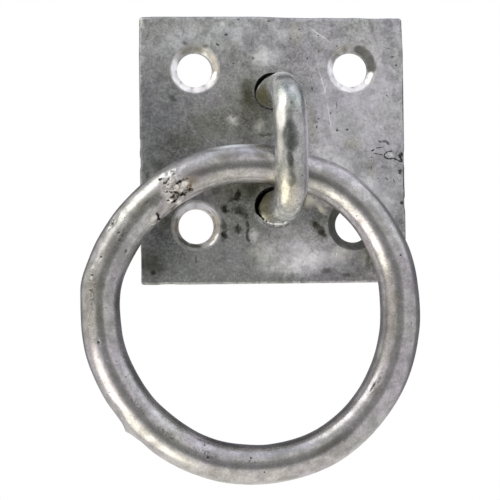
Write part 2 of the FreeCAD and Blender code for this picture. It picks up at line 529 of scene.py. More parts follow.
plateShape = {
    "cell": 0.31,  # mm
    "rim": 0.45,
    "backRim": 0.2,
    "corners": [  # side in x and z, reach in mm, times smoothed
        (-1, 1, 2.4, 14), (1, 1, 2.2, 12), (-1, -1, 1.8, 7), (1, -1, 1.8, 7)],
    "edges": [  # x, z, shift in x and z, reach, mm
        (-25.57, 22.0, 0.09, 0, 4.0), (-25.57, -22.5, 0.07, 0, 4.0), (25.07, 22.5, -0.12, 0, 4.0),
        (25.07, -6.0, -0.07, 0, 5.0), (-25.57, -2.8, 0.12, 0, 0.9), (-25.57, 0.8, 0.1, 0, 0.7),
        (25.07, -10.9, -0.14, 0, 0.8), (25.07, -2.4, -0.1, 0, 1.2), (-20.5, -26.05, 0, 0.1, 1.4),
        (4.0, 25.05, 0, -0.2, 6.0), (10.0, 25.05, 0, -0.2, 6.0), (16.0, 25.05, 0, -0.22, 6.0),
        (22.0, 25.05, 0, -0.3, 6.0)],
    "dents": [  # x, z, depth, reach, mm
        (-9.64, 23.64, 0.1, 1.1), (-8.9, 21.5, 0.09, 0.7), (-7.63, 5.76, 0.16, 0.8),
        (-3.78, 17.1, 0.1, 0.9), (-4.6, 17.9, 0.06, 0.6), (24.1, -5.1, 0.12, 0.6), (24.3, -10.9, 0.2, 0.8),
        (12.2, 3.1, 0.08, 0.6), (14.1, 3.2, 0.08, 0.6), (-21.0, -3.2, 0.08, 2.0), (-23.1, -22.5, 0.1, 2.0),
        (-7.1, -9.4, 0.14, 1.0), (-9.4, -15.6, 0.1, 0.8), (9.5, 8.0, 0.05, 4.0), (-18.0, 6.0, 0.06, 6.0),
        (-25.1, 23.6, 0.16, 1.2)],
    "swells": (5.0, 0.07),
    "legHoles": [(-0.15, 10.65, 7.06), (-0.22, -11.3, 7.3)],  # x, z and width, mm
    "headPlaces": [(-0.2, 10.7), (-0.2, -11.3)],
    "headWide": 9.1,
    "headDeep": 1.0,
    "sinkWide": 9.7,
    "lip": 0.1,
    "legLip": 0.07,
    "ridges": 4,
    "ridgeRise": 0.08,
    "burr": (3.7, 205, 332, 19, 0.36, 0.3, 0.6),  # radius, from and to degrees, pushes, inwards, out, reach
    "proud": 0.5,  # how far a hole's cutter stands out of the plate
    "smooth": 32,  # degrees
}


def makePlate():
    shape = plateShape
    wide, high = plateHigh.x - plateLow.x, plateHigh.z - plateLow.z
    frontMiddle = (plateMiddle.x, front, plateMiddle.z)
    rim, backRim = shape["rim"] * mm, shape["backRim"] * mm
    cells = [round(size / mm / shape["cell"]) for size in (wide, high)]
    bpy.ops.object.select_all(action="DESELECT")
    bpy.ops.mesh.primitive_grid_add(x_subdivisions=cells[0], y_subdivisions=cells[1], size=1,
                                    rotation=(math.pi / 2, 0, 0), location=frontMiddle)
    plate = startPiece("zincPlate")
    editPiece(plate, "EDGE")
    bpy.ops.mesh.select_all(action="SELECT")
    bpy.ops.transform.resize(value=(wide - 2 * rim, 1, high - 2 * rim), center_override=frontMiddle)
    leavePiece()
    bpy.ops.object.duplicate()
    back = bpy.context.object
    editPiece(back)
    bpy.ops.mesh.select_all(action="SELECT")
    inner = 2 * backRim
    bpy.ops.transform.resize(value=((wide - inner) / (wide - 2 * rim), 1, (high - inner) / (high - 2 * rim)),
                             center_override=plateMiddle)
    bpy.ops.transform.translate(value=(0, -front, 0))
    bpy.ops.mesh.flip_normals()
    leavePiece()

    def frontRim(share):
        turn = share * math.pi / 2
        grown = 2 * rim * (1 - math.sin(turn))
        return wide - grown, high - grown, front + rim * (1 - math.cos(turn))

    def wall(share):
        return wide, high, front + rim + (-front - rim - backRim) * share

    def rearRim(share):
        turn = share * math.pi / 2
        shrunk = 2 * backRim * (1 - math.cos(turn))
        return wide - shrunk, high - shrunk, -backRim * (1 - math.sin(turn))

    editPiece(plate, "EDGE")
    bpy.ops.mesh.select_all(action="SELECT")
    bpy.ops.mesh.region_to_loop()
    for steps, stretch in ((4, frontRim), (8, wall), (2, rearRim)):
        growEdge(plateMiddle, steps, stretch)
    leavePiece()
    back.select_set(True)
    bpy.ops.object.join()
    editPiece(plate)
    bpy.ops.mesh.select_all(action="SELECT")
    bpy.ops.mesh.remove_doubles(threshold=0.01 * mm)
    bpy.ops.mesh.normals_make_consistent(inside=False)
    halfWide, halfHigh = wide / 2, high / 2
    for sideX, sideZ, reach, times in shape["corners"]:
        corner = plateMiddle + Vector((sideX * halfWide, 0, sideZ * halfHigh))
        pickVerts(plate, lambda co: abs(co.x - corner.x) < reach * mm and abs(co.z - corner.z) < reach * mm)
        bpy.ops.mesh.vertices_smooth(factor=0.5, repeat=times, xaxis=True, yaxis=False, zaxis=True)
    for x, z, shiftX, shiftZ, reach in shape["edges"]:
        pickVerts(plate, lambda co: abs(co.x - x * mm) < 2 * rim and abs(co.z - z * mm) < 2 * rim)
        moveSoftly((shiftX * mm, 0, shiftZ * mm), reach * mm)
    pushSpots(plate, [(Vector((x * mm, front, z * mm)), (0, depth * mm, 0), reach * mm)
                      for x, z, depth, reach in shape["dents"]])
    leavePiece()
    swell(plate, *shape["swells"])
    cutHoles(plate)
    editPiece(plate)
    radius, start, end, pushes, inwards, rise, reach = shape["burr"]
    holeX, holeZ = shape["legHoles"][1][:2]
    spots = []
    for step in range(pushes):
        share = step / (pushes - 1)
        turn = math.radians(start + (end - start) * share)
        wayX, wayZ = math.cos(turn), math.sin(turn)
        some = math.sin(math.pi * share) ** 0.4
        place = Vector((holeX + radius * wayX, front / mm, holeZ + radius * wayZ)) * mm
        spots.append((place, Vector((-wayX * inwards, -rise, -wayZ * inwards)) * some * mm, reach * mm))
    pushSpots(plate, spots)
    leavePiece()
    keepWithin(plate, Vector((plateLow.x, -1, plateLow.z)), plateHigh)
    return plate


def turnCutter(x, z, profile):  # turned on an axis along y, through (radius, y) points
    bpy.ops.object.select_all(action="DESELECT")
    radius, y = profile[0]
    bpy.ops.mesh.primitive_circle_add(vertices=128, radius=radius, fill_type="NGON",
                                      rotation=(math.pi / 2, 0, 0), location=(x, y, z))
    cutter = startPiece("holeCutter")
    bpy.ops.object.mode_set(mode="EDIT")
    for wider, further in profile[1:]:
        bpy.ops.mesh.extrude_region_move(TRANSFORM_OT_translate={"value": (0, further - y, 0)})
        bpy.ops.transform.resize(value=(wider / radius, 1, wider / radius), center_override=(x, further, z))
        radius, y = wider, further
    bpy.ops.mesh.select_all(action="SELECT")
    bpy.ops.mesh.normals_make_consistent(inside=False)
    bpy.ops.object.mode_set(mode="OBJECT")
    return cutter


def cutHoles(plate):
    shape = plateShape
    dims = frame["record"]["mounts"][0]["dims"]
    lip, proud = shape["lip"] * mm, shape["proud"] * mm
    bore, sink = dims["hole_r_mm"] * mm, shape["sinkWide"] / 2 * mm
    random.seed(4)
    cutters, headCutters = [], []
    for sideX in (-1, 1):
        for sideZ in (-1, 1):
            profile = [(sink + lip, front - proud), (sink + lip, front - lip / 2), (sink, front + lip)]
            depth = sink - bore
            for ridge in range(1, 2 * shape["ridges"]):
                share = ridge / (2 * shape["ridges"])
                rise = (ridge % 2) * shape["ridgeRise"] * mm * random.uniform(0.35, 1)
                profile.append((sink - depth * share + rise, front + lip + (depth - lip) * share))
            profile += [(bore, front + depth), (bore, -lip), (bore + lip, lip / 4), (bore + lip, proud)]
            cutters.append(turnCutter(sideX * dims["spacing_x_mm"] / 2 * mm,
                                      sideZ * dims["spacing_y_mm"] / 2 * mm, profile))
    deep, legLip = shape["headDeep"] * mm, shape["legLip"] * mm
    head = shape["headWide"] / 2 * mm
    for (x, z, wide), (headX, headZ) in zip(shape["legHoles"], shape["headPlaces"]):
        hole = wide / 2 * mm
        profile = [(hole + legLip, front - proud), (hole + legLip, front - legLip / 2),
                   (hole, front + legLip), (hole, -deep / 2)]
        cutters.append(turnCutter(x * mm, z * mm, profile))
        profile = [(head - deep, -deep), (head, 0), (head, proud)]
        headCutters.append(turnCutter(headX * mm, headZ * mm, profile))
    for group in (cutters, headCutters):
        makeActive(group[0])
        for cutter in group:
            cutter.select_set(True)
        bpy.ops.object.join()
        applyChange(plate, "BOOLEAN", object=group[0], operation="DIFFERENCE", solver="EXACT")
        makeActive(group[0])
        bpy.ops.object.delete()


plateLook = {
    "dark": (0.34, 0.34, 0.345),
    "light": (0.58, 0.58, 0.59),
    "greenish": (0.975, 1.0, 0.95),
    "lilac": (1.0, 0.98, 1.03),
    "broad": 9.0,
    "middling": 1.8,
    "fine": 0.5,
    "share": 0.9,
    "grain": 0.2,
    "rough": (0.28, 0.44),
    "metal": 0.9,
    "grainRise": 0.006,
    "cloudRise": 0.03,
    "fray": 1.0,
    "torn": 0.4,
    "scatter": [  # turn, stretch, spacing, width, share, strength, paint, rise
        (0, (1, 1, 1), 1.5, 0.16, 0.35, 0.75, (0.12, 0.12, 0.12), -0.04),
        (0, (1, 1, 1), 3.4, 0.13, 0.4, 0.85, (0.06, 0.06, 0.065), -0.08),
        (0, (1, 1, 1), 0.8, 0.3, 0.3, 0.5, (0.20, 0.20, 0.195), -0.01),
        (0, (1, 1, 1), 0.9, 0.3, 0.3, 0.5, (0.72, 0.72, 0.73), 0.01),
        (35, (9, 1, 0.35), 1.2, 0.25, 0.16, 0.5, (0.75, 0.75, 0.77), 0.01),
        (-62, (8, 1, 0.3), 1.3, 0.25, 0.16, 0.5, (0.75, 0.75, 0.77), 0.01),
        (-84, (5, 1, 0.5), 1.3, 0.22, 0.22, 0.65, (0.12, 0.13, 0.14), -0.02),
    ],
}


def onPlate(x, z, across, rise, turn=0):
    return Vector((x * mm, front, z * mm)), (across * mm, 1.2 * mm, rise * mm), turn


def plateSpots(*places):
    return [onPlate(*place) for place in places]


def plateLine(width, *points):  # one long spot for each stretch
    spots = []
    for (x, z), (nextX, nextZ) in zip(points, points[1:]):
        half = math.hypot(nextX - x, nextZ - z) / 2 + width
        turn = math.degrees(math.atan2(nextZ - z, nextX - x))
        spots.append(onPlate((x + nextX) / 2, (z + nextZ) / 2, half, width, turn))
    return spots


def plateLines(*lines):
    return [spot for width, *points in lines for spot in plateLine(width, *points)]


def plateArc(x, z, radius, start, end, width, steps):
    points = []
    for step in range(steps + 1):
        turn = math.radians(start + (end - start) * step / steps)
        points.append((x + radius * math.cos(turn), z + radius * math.sin(turn)))
    return plateLine(width, *points)


def sinkArcs(*arcs):  # deep enough to mark the whole of a countersink
    spots = [spot for arc in arcs for spot in plateArc(*arc)]
    return [(centre, (size[0], 5 * mm, size[2]), turn) for centre, size, turn in spots]


def inHole(x, z):
    return Vector((x, -1.75, z)) * mm, (5.5 * mm, 1.32 * mm, 5.5 * mm), 0


def sinkRim(x, z, reach=5.0):
    return Vector((x * mm, front, z * mm)), (reach * mm, 9 * mm, reach * mm), 0


# painted shade: black inside the leg holes and on the staple's neck there, where the holes are only dark
paintedHoleShade = markKind([inHole(x, z) for x, z, wide in plateShape["legHoles"]],
                     (0.004, 0.004, 0.004), 1.0, soft=0.2, ragged=0.0, dull=0.4)
plateMarks = [
    markKind(  # cool grey wash down the left side: partly patina, partly painted shade of the darker left
        plateSpots((-22, 2, 13, 24), (-17, -4, 14, 9), (-22, -18, 9, 10)),
        (0.59, 0.615, 0.61), 0.9, soft=1.0, ragged=3.0, wash=True),
    markKind(  # olive wash round the staple and at the lower left: painted shade, partly patina at the lower left
        plateSpots((-6, 6, 9, 9), (-9, -8, 8, 6), (-24, -22, 4.5, 6)),
        (0.60, 0.60, 0.52), 0.8, soft=1.0, ragged=2.0, wash=True),
    markKind(  # darker olive wash: painted shade beside the staple's feet and along the ring
        plateSpots((-17, 1.5, 8, 4.5), (-4.0, 9.4, 4.0, 6.6), (-21, -13, 5.5, 6.5), (-5, -8, 3.5, 4),
            (17.8, -20.0, 2.0, 4.5), (-12.5, 4.5, 6.5, 4.5))
        + plateLine(1.6, (-1.6, -6.4), (-4.6, -9.6)),
        (0.50, 0.52, 0.41), 0.85, soft=1.0, ragged=2.0, wash=True),
    markKind(  # pale lilac zinc on the right: partly matte patina, partly painted light of the brighter right side
        plateSpots((12, 5, 10, 22), (18, 8, 12, 22), (20, -8.5, 8, 9), (7, -19, 12, 7)),
        (0.54, 0.52, 0.56), 0.78, soft=0.9, ragged=3.0, patchy=0.3, dull=0.15, metal=-0.4),
    markKind(  # bluish grey along the top
        plateSpots((-16, 20, 11, 6), (-8, 22, 10, 5), (-24.8, 17.5, 0.9, 3), (-20.9, -2.5, 1.2, 3, 55),
            (23.9, 21.5, 0.9, 4.5), (3, 22, 12, 4)),
        (0.47, 0.48, 0.51), 0.5, soft=1.0, ragged=2.0, patchy=0.4, dull=0.1, metal=-0.3),
    markKind(  # faint yellow streaks
        plateSpots((4.3, 21.5, 2.2, 4.5, 8), (7.2, 4.6, 1.4, 7.5, 8), (18.5, -4.5, 1.6, 4, 10),
            (15, 0.5, 3, 2)),
        (0.80, 0.77, 0.60), 0.6, soft=1.0, ragged=1.5, wash=True),
    markKind(  # painted yellow highlight beside the lower foot, below the ring
        plateLine(0.8, (5.8, -9.2), (7.8, -10.9), (9.6, -12.8)) + [onPlate(6.3, -10.4, 2.0, 1.8, -40)],
        (1.0, 0.95, 0.76), 0.9, soft=0.8, ragged=0.8, patchy=0.3, metal=-0.8),
    markKind(  # lighter zinc in patches, and in a band along the ring's outside
        plateSpots((5.5, -21.6, 6.5, 4.0), (2, -22.8, 8, 2.4), (-4.1, -16.8, 1.3, 1.8),
            (-1.4, 17.3, 4.2, 3.2))
        + plateLine(2.6, (8.5, -0.8), (10.8, -2.0), (15.6, -5.2), (19.9, -9.2), (22.4, -12.4)),
        (0.76, 0.75, 0.76), 0.62, soft=1.0, ragged=1.5, patchy=0.4, metal=-0.4),
    markKind(  # dark specks
        plateSpots((-20, -17, 9, 11), (-18, -2, 8, 5), (-6, -12, 6, 7), (-3, 6, 5, 7), (8, -16, 5, 8)),
        (0.07, 0.08, 0.065), 0.5, soft=1.0, ragged=1.0, speckle=0.4),
    markKind(  # light specks
        plateSpots((-3, -19, 8, 6), (-9, 6, 15, 16), (14, 4, 14, 24)),
        (0.78, 0.77, 0.77), 0.22, soft=1.0, ragged=1.0, speckle=0.35),
    markKind(  # worn countersinks
        [sinkRim(-15, 15), sinkRim(15, 15), sinkRim(-15, -15)],
        (0.62, 0.61, 0.60), 0.75, soft=0.06, hollow=0.66, ragged=0.1, patchy=0.6, metal=-0.25),
    markKind(  # painted shade in the countersink behind the ring
        [sinkRim(15, -15)],
        (0.20, 0.21, 0.18), 0.8, soft=0.06, hollow=0.66, ragged=0.1, dull=0.1),
    markKind(  # tan in the others
        sinkArcs((-15, 15, 4.1, 130, 60, 0.9, 2), (-15, -15, 4.1, 160, 290, 0.9, 3),
            (15, 15, 4.1, 140, 95, 0.8, 2)),
        (0.58, 0.56, 0.47), 0.8, soft=0.8, ragged=0.4, wash=True),
    markKind(  # painted highlight on the lit side of the other countersinks
        sinkArcs((-15, 15, 4.1, 150, 335, 1.0, 5), (15, 15, 4.1, 160, 320, 1.0, 4),
            (-15, -15, 4.1, 150, 30, 0.8, 4)),
        (0.74, 0.73, 0.76), 0.85, soft=0.6, ragged=0.3, patchy=0.25, metal=-0.7),
    markKind(  # dark turning ridges
        sinkArcs((-15, -15, 3.75, 60, -40, 0.15, 4), (-15, -15, 4.3, 50, -5, 0.14, 2),
            (-15, -15, 4.0, 150, 250, 0.14, 4), (-15, 15, 4.0, 35, -15, 0.13, 2)),
        (0.20, 0.18, 0.13), 0.8, soft=0.7, ragged=0.15),
    markKind(  # brown side
        sinkArcs((-15, -15, 4.05, 30, -45, 0.8, 3), (-15, 15, 4.15, 40, -5, 0.8, 2)),
        (0.50, 0.45, 0.37), 0.8, soft=0.7, ragged=0.4, patchy=0.2, metal=-0.6),
    markKind(  # painted shade: a dark wedge at the upper right of one countersink, and at the lower left of another
        sinkArcs((15, 15, 4.1, 70, -2, 1.0, 4), (-15, -15, 3.9, 215, 280, 0.45, 2)),
        (0.11, 0.115, 0.105), 0.9, soft=0.35, ragged=0.25, patchy=0.15),
    markKind(  # shade beside the feet and under the stain
        plateSpots((-5.1, 10.2, 1.7, 4.6), (-4.2, -8.2, 1.5, 2.2, -50))
        + plateLine(1.2, (7.0, -14.2), (8.4, -15.6), (9.4, -17.6)),
        (0.44, 0.44, 0.34), 0.85, soft=0.9, ragged=0.9, wash=True),
    markKind(  # painted glints on the countersinks, and a painted highlight along the lip of the lower foot's hole
        sinkArcs((15, 15, 4.0, -12, -40, 0.6, 2), (-15, -15, 4.4, -20, -55, 0.32, 2),
            (-15, 15, 4.0, -8, -28, 0.5, 1))
        + plateLine(0.24, (-3.3, -12.4), (-2.5, -13.4), (-1.6, -14.25), (-0.6, -14.75), (1.6, -14.75),
            (2.4, -14.1), (3.0, -13.2)),
        (1.0, 0.99, 0.94), 0.95, soft=0.5, ragged=0.15, metal=-0.6),
    markKind(  # dark line outside that lip
        plateLine(0.12, (-2.6, -14.2), (-1.4, -15.1), (-0.1, -15.4), (1.7, -15.3), (2.9, -14.5))
        + [onPlate(-0.3, -15.1, 0.22, 0.22)],
        (0.10, 0.085, 0.08), 0.8, soft=0.5, ragged=0.15),
    markKind(  # dark edges of the countersinks
        [sinkRim(-15, 15, 4.85), sinkRim(15, 15, 4.85), sinkRim(-15, -15, 4.85)],
        (0.22, 0.225, 0.21), 0.6, soft=0.035, hollow=0.955, ragged=0.25, patchy=0.6),
    markKind(  # large soft stains
        plateSpots((-21, -3.2, 3.6, 2.2, 20), (-23.0, -22.5, 2.4, 3.6, 70), (-7.1, -9.4, 1.2, 0.7, 60),
            (9.7, -23.7, 1.7, 0.8), (-19.2, 9.3, 1.6, 0.8, -35), (-24.1, -5.6, 0.8, 1.6),
            (13.5, -24.6, 1.8, 0.5, 10), (-15.2, -21.5, 0.4, 1.0), (-22.9, -21.2, 1.2, 1.0),
            (-8.2, -12.0, 1.3, 0.5, 70), (24.2, -1.9, 0.7, 1.1), (-16.8, 19.9, 0.8, 0.6),
            (-12.9, 19.4, 0.9, 0.5), (-1.6, 2.3, 2.4, 0.35, 4)),
        (0.09, 0.095, 0.08), 0.75, soft=0.8, ragged=1.2, dull=0.1, rise=-0.03),
    markKind(  # black stains beside the lower foot
        plateLines((1.0, (7.4, -14.6), (8.6, -15.9), (9.4, -17.2)),
            (0.8, (-8.8, -10.5), (-8.0, -9.8), (-7.0, -9.6), (-6.9, -8.5)),
            (0.9, (-9.9, -14.4), (-9.6, -15.8), (-10.0, -17.6)), (0.8, (-6.3, -12.3), (-5.4, -13.6)))
        + plateSpots((-9.6, -11.9, 1.0, 1.5, 30), (-7.2, -15.7, 1.0, 1.2), (-6.8, -12.0, 1.6, 1.2)),
        (0.035, 0.033, 0.022), 0.97, soft=0.75, ragged=2.0, patchy=0.4, rise=-0.03),
    markKind(  # black cracks at the right edge
        plateLines((0.18, (22.8, -0.9), (21.9, -1.0), (21.4, -1.3), (21.1, -1.8)),
            (0.26, (21.1, -1.9), (21.4, -2.3), (22.0, -2.5), (22.8, -2.3), (23.6, -2.7), (24.6, -3.1)),
            (0.24, (18.7, -0.9), (19.1, -0.7)), (0.15, (19.3, -0.35), (21.1, -0.2)),
            (0.15, (19.1, -1.3), (19.9, -1.5), (20.9, -1.7)))
        + [onPlate(24.5, -1.6, 0.35, 0.6)]
        + plateLines((0.3, (24.0, -1.7), (24.3, -2.3), (24.5, -2.9)), (0.2, (23.7, -4.8), (24.5, -4.6)),
            (0.09, (18.5, -3.8), (18.7, -4.6)), (0.08, (20.7, -3.8), (20.7, -4.2)),
            (0.1, (19.7, -6.1), (20.0, -6.3)), (0.1, (21.2, -5.9), (21.8, -6.5)),
            (0.1, (22.7, -6.1), (23.1, -7.1))),
        (0.022, 0.03, 0.022), 0.95, soft=0.55, ragged=0.3, rise=-0.06),
    markKind(  # dark scratches, and the right edge
        plateLines((0.4, (20.9, 1.0), (21.5, 0.9), (22.0, 0.3)), (0.3, (20.0, 1.0), (20.7, 0.8)),
            (0.35, (24.95, 2.0), (24.95, -16.0)), (0.2, (24.95, 14.0), (24.95, 2.0)),
            (0.5, (-5.4, -14.2), (-5.1, -15.5), (-5.5, -16.6), (-5.3, -17.9)),
            (0.09, (20.8, 19.1), (22.9, 18.7)), (0.1, (12.07, 8.9), (12.04, 6.8))),
        (0.06, 0.062, 0.07), 0.8, soft=0.7, ragged=0.4, rise=-0.05),
    markKind(  # pits
        plateSpots((-6.6, 24.4, 0.35, 0.22), (-8.9, 21.5, 0.5, 0.35), (-10.6, 19.6, 0.6, 0.3, -30),
            (-3.8, 17.0, 0.5, 0.3, -60), (-7.7, 5.7, 0.5, 0.25), (7.4, 11.1, 0.2, 0.55),
            (8.5, 5.3, 0.3, 0.2), (8.2, 3.8, 0.22, 0.45, -20), (12.1, 3.1, 0.4, 0.36),
            (14.0, 3.2, 0.4, 0.3), (15.5, 0.1, 0.2, 0.2), (23.0, 17.2, 0.5, 0.25), (23.7, 15.6, 0.3, 0.3),
            (21.8, 9.7, 0.35, 0.2, -40), (24.1, -5.1, 0.45, 0.5), (24.3, -10.9, 0.5, 0.5),
            (-5.0, -17.8, 0.3, 0.45), (-7.6, 15.9, 0.35, 0.25), (5.1, 22.5, 0.3, 0.25),
            (3.4, 20.7, 0.3, 0.2), (-0.8, 24.1, 0.35, 0.2), (8.7, 21.3, 0.25, 0.25),
            (8.7, 18.2, 0.22, 0.22), (6.5, 16.9, 0.2, 0.5), (10.9, 6.4, 0.22, 0.22),
            (12.3, 19.2, 0.3, 0.15, 40), (18.6, -2.1, 0.25, 0.15), (-25.1, 22.6, 0.25, 0.2),
            (-23.9, 21.2, 0.25, 0.2), (-23.3, -23.8, 0.8, 0.7)),
        (0.04, 0.04, 0.045), 0.9, soft=0.7, ragged=0.3, rise=-0.06),
    markKind(  # pale patches, and painted reflected light below the ring beside the lower foot
        plateSpots((-7.8, 5.1, 1.9, 1.5, -30), (-2.8, 4.4, 1.4, 1.6), (-9.6, 23.6, 0.7, 0.8),
            (-3.6, 17.4, 0.9, 0.7), (7.8, -10.6, 2.4, 1.4, -30), (-24.9, 23.8, 0.7, 1.8),
            (-2.2, -20.0, 4.0, 2.6), (12.6, -20.6, 3.2, 2.2), (-11.6, -6.0, 2.8, 1.2, 10),
            (22.6, -1.6, 0.9, 0.45), (9.8, 11.0, 0.3, 1.8, -20), (-2.7, 3.2, 0.8, 0.5)),
        (0.78, 0.77, 0.73), 0.6, soft=0.9, ragged=1.6, patchy=0.5, metal=-0.25),
    markKind(  # long fine scratches
        plateSpots((9.0, 21.5, 4.5, 0.16, -34), (6.9, 20.0, 3.0, 0.13, -66), (9.2, 13.0, 4.8, 0.13, -75),
            (10.6, 6.0, 5.0, 0.14, -81)),
        (0.9, 0.9, 0.9), 0.42, soft=0.8, ragged=0.3, patchy=0.5, rise=0.01, metal=-0.3),
    # painted shade inside the leg holes
    paintedHoleShade,
]


plate = makePlate()
dressPiece(plate, makeZinc("plateZinc", plateLook, plateMarks), plateShape["smooth"])
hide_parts("mounting_plate")
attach(plate, "plate")
print("Plate ready,", len(plate.data.polygons), "faces")


# Staple

stapleShape = {
    "wire": 6.06,  # mm
    "rounds": 80,
    "step": 0.25,
    "legHeights": (10.27, -11.33),
    "legX": -0.35,
    "reach": 13.9,
    "bend": 6.0,
    "lean": 10.4,  # degrees aside from straight out
    "fall": 13.0,  # degrees that this way turns down
    "knock": 9.0,
    "headGap": 0.03,
    "shifts": [  # lowest and highest x, y and z of what is moved, shift in x and z, reach, mm
        (-4, 3, -3.5, -2.9, 7, 13.6, -0.1, 0, 4.5), (-4, 3, -3.5, -2.9, -14.6, -8, 0.22, -0.28, 4.5),
        (-2, 6, -21, -13, 4, 14, -0.26, 0, 4.5), (-2, 6, -21, -13, -16, -9, 0.12, -0.28, 4.0)],
    "dents": [  # x, y, z, shift in x, y and z, reach, mm
        (-2.6, -3.4, 12.4, 0.26, 0, -0.26, 3.2), (-2.3, -3.4, -9.5, 0.25, 0, -0.25, 3.2),
        (2.2, -20.0, 3.0, 0, 0.08, 0, 3.0), (2.4, -19.9, -2.0, 0, 0.12, 0, 2.6),
        (3.3, -19.6, -4.4, -0.06, 0.1, 0, 1.4), (1.4, -19.4, -7.8, 0, 0.12, 0.04, 1.3),
        (2.6, -19.0, -9.6, 0, 0.14, 0.08, 1.5), (0.6, -19.0, -9.0, 0.06, 0.1, 0.05, 1.0),
        (3.9, -19.0, 5.6, -0.06, 0.06, 0, 1.5), (-0.3, -19.2, 6.4, 0.08, 0.06, 0, 1.6),
        (1.6, -17.0, -13.4, 0, 0.08, 0.08, 1.6), (2.3, -18.2, 11.0, 0, 0.06, -0.06, 1.6)],
    "swells": (3.0, 0.06),
    "smooth": 40,
}


def makeStaple():
    shape = stapleShape
    radius = shape["wire"] / 2 * mm
    step = shape["step"] * mm
    upper, lower = (height * mm for height in shape["legHeights"])
    footX = shape["legX"] * mm
    lean, fall = math.radians(shape["lean"]), math.radians(shape["fall"])
    knock, bend = shape["knock"] * mm, shape["bend"] * mm
    out, up = Vector((0, -1, 0)), Vector((0, 0, 1))
    aside = Vector((math.cos(fall), 0, -math.sin(fall)))
    heading = out * math.cos(lean) + aside * math.sin(lean)
    crownWay = (up - heading * heading.z).normalized()
    side, knockAxis = crownWay.cross(heading), out.cross(aside)
    leant = aside * knock * (1 - math.cos(lean)) + out * knock * math.sin(lean)
    straight = (shape["reach"] * mm - knock * math.sin(lean)) / math.cos(lean) - bend
    longer = -heading.z * (upper - lower) / 2
    crown = (upper - lower) * crownWay.z - 2 * bend
    upperFace, lowerFace = Vector((footX, front, upper)), Vector((footX, front, lower))
    upperBend = upperFace + leant + heading * (straight + longer) - crownWay * bend
    lowerBend = lowerFace + leant + heading * (straight - longer) + crownWay * bend
    rear = -plateShape["headDeep"] * mm

    def run(shift):
        count = max(1, round(shift.length / step))
        for _ in range(count):
            bpy.ops.mesh.extrude_edges_move(TRANSFORM_OT_translate={"value": shift / count})

    def turn(angle, centre, axis, away):  # spin counts its angle the other way round
        bpy.ops.mesh.spin(steps=round(abs(angle) * away / step), dupli=False, angle=-angle,
                          center=centre, axis=axis)

    bpy.ops.object.select_all(action="DESELECT")
    bpy.ops.mesh.primitive_circle_add(vertices=shape["rounds"], radius=radius, fill_type="NOTHING",
                                      rotation=(math.pi / 2, 0, 0), location=(footX, rear, upper))
    staple = startPiece("zincStaple")
    bpy.ops.object.mode_set(mode="EDIT")
    bpy.ops.mesh.select_mode(type="VERT")
    bpy.ops.mesh.select_all(action="SELECT")
    run(Vector((0, front - rear, 0)))
    turn(lean, upperFace + aside * knock, knockAxis, knock)
    run(heading * (straight + longer))
    turn(math.pi / 2, upperBend, side, bend)
    run(-crownWay * crown)
    turn(math.pi / 2, lowerBend, side, bend)
    run(-heading * (straight - longer))
    turn(-lean, lowerFace + aside * knock, knockAxis, knock)
    run(Vector((0, rear - front, 0)))
    for foot, (holeX, holeZ) in zip((upperFace, lowerFace), plateShape["headPlaces"]):
        rivetEnd(staple, Vector((foot.x, rear, foot.z)), Vector((holeX * mm, rear, holeZ * mm)))
    bpy.ops.mesh.select_all(action="SELECT")
    bpy.ops.mesh.remove_doubles(threshold=0.005 * mm)
    bpy.ops.mesh.normals_make_consistent(inside=False)
    for lowX, highX, lowY, highY, lowZ, highZ, shiftX, shiftZ, reach in shape["shifts"]:
        bpy.ops.mesh.select_all(action="DESELECT")
        pickVerts(staple, lambda co: lowX < co.x / mm < highX and lowY < co.y / mm < highY
                  and lowZ < co.z / mm < highZ)
        moveSoftly((shiftX * mm, 0, shiftZ * mm), reach * mm)
    pushSpots(staple, [(Vector((x, y, z)) * mm, Vector(shift) * mm, reach * mm)
                       for x, y, z, *shift, reach in shape["dents"]])
    leavePiece()
    swell(staple, *shape["swells"])
    keepWithin(staple, *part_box("staple"))
    return staple


def rivetEnd(staple, foot, hole):  # upset into the countersink and hammered nearly flat
    radius = stapleShape["wire"] / 2 * mm
    gap = stapleShape["headGap"] * mm
    head = plateShape["headWide"] / 2 * mm - gap
    neck = head - plateShape["headDeep"] * mm
    pickVerts(staple, lambda co: abs(co.y - foot.y) < gap / 10 and abs(co.z - foot.z) < 2 * radius)
    bpy.ops.mesh.extrude_edges_move(TRANSFORM_OT_translate={"value": hole - foot})
    bpy.ops.transform.resize(value=(neck / radius, 1, neck / radius), center_override=hole)
    last, lastY = neck, foot.y
    rings = [(head, -2 * gap), (head * 0.97, -gap)]
    rings += [(head * share, -gap * (1.5 + 3 * (share % 0.3)))
              for share in (0.85, 0.7, 0.55, 0.4, 0.25, 0.1)]
    for wide, y in rings:
        bpy.ops.mesh.extrude_edges_move(TRANSFORM_OT_translate={"value": (0, y - lastY, 0)})
        bpy.ops.transform.resize(value=(wide / last, 1, wide / last), center_override=(hole.x, y, hole.z))
        last, lastY = wide, y
    bpy.ops.mesh.edge_face_add()


stapleLook = {
    "dark": (0.44, 0.45, 0.445),
    "light": (0.70, 0.70, 0.705),
    "greenish": (0.985, 1.0, 0.95),
    "lilac": (1.0, 0.985, 1.01),
    "broad": 8.0,
    "middling": 2.0,
    "fine": 0.45,
    "share": 0.6,
    "grain": 0.14,
    "rough": (0.2, 0.32),
    "metal": 0.9,
    "grainRise": 0.005,
    "cloudRise": 0.012,
    "fray": 0.9,
    "torn": 0.3,
    "scatter": [
        (0, (1, 1, 1), 1.3, 0.15, 0.25, 0.6, (0.14, 0.14, 0.14), -0.04),
        (0, (1, 1, 1), 0.9, 0.25, 0.3, 0.4, (0.95, 0.95, 0.95), 0.01),
    ],
}


def onStaple(x, y, z, across, rise, turn=0, deep=None):
    deep = across if deep is None else deep
    return Vector((x, y, z)) * mm, (across * mm, deep * mm, rise * mm), turn


def stapleSpots(*places):
    return [onStaple(*place) for place in places]


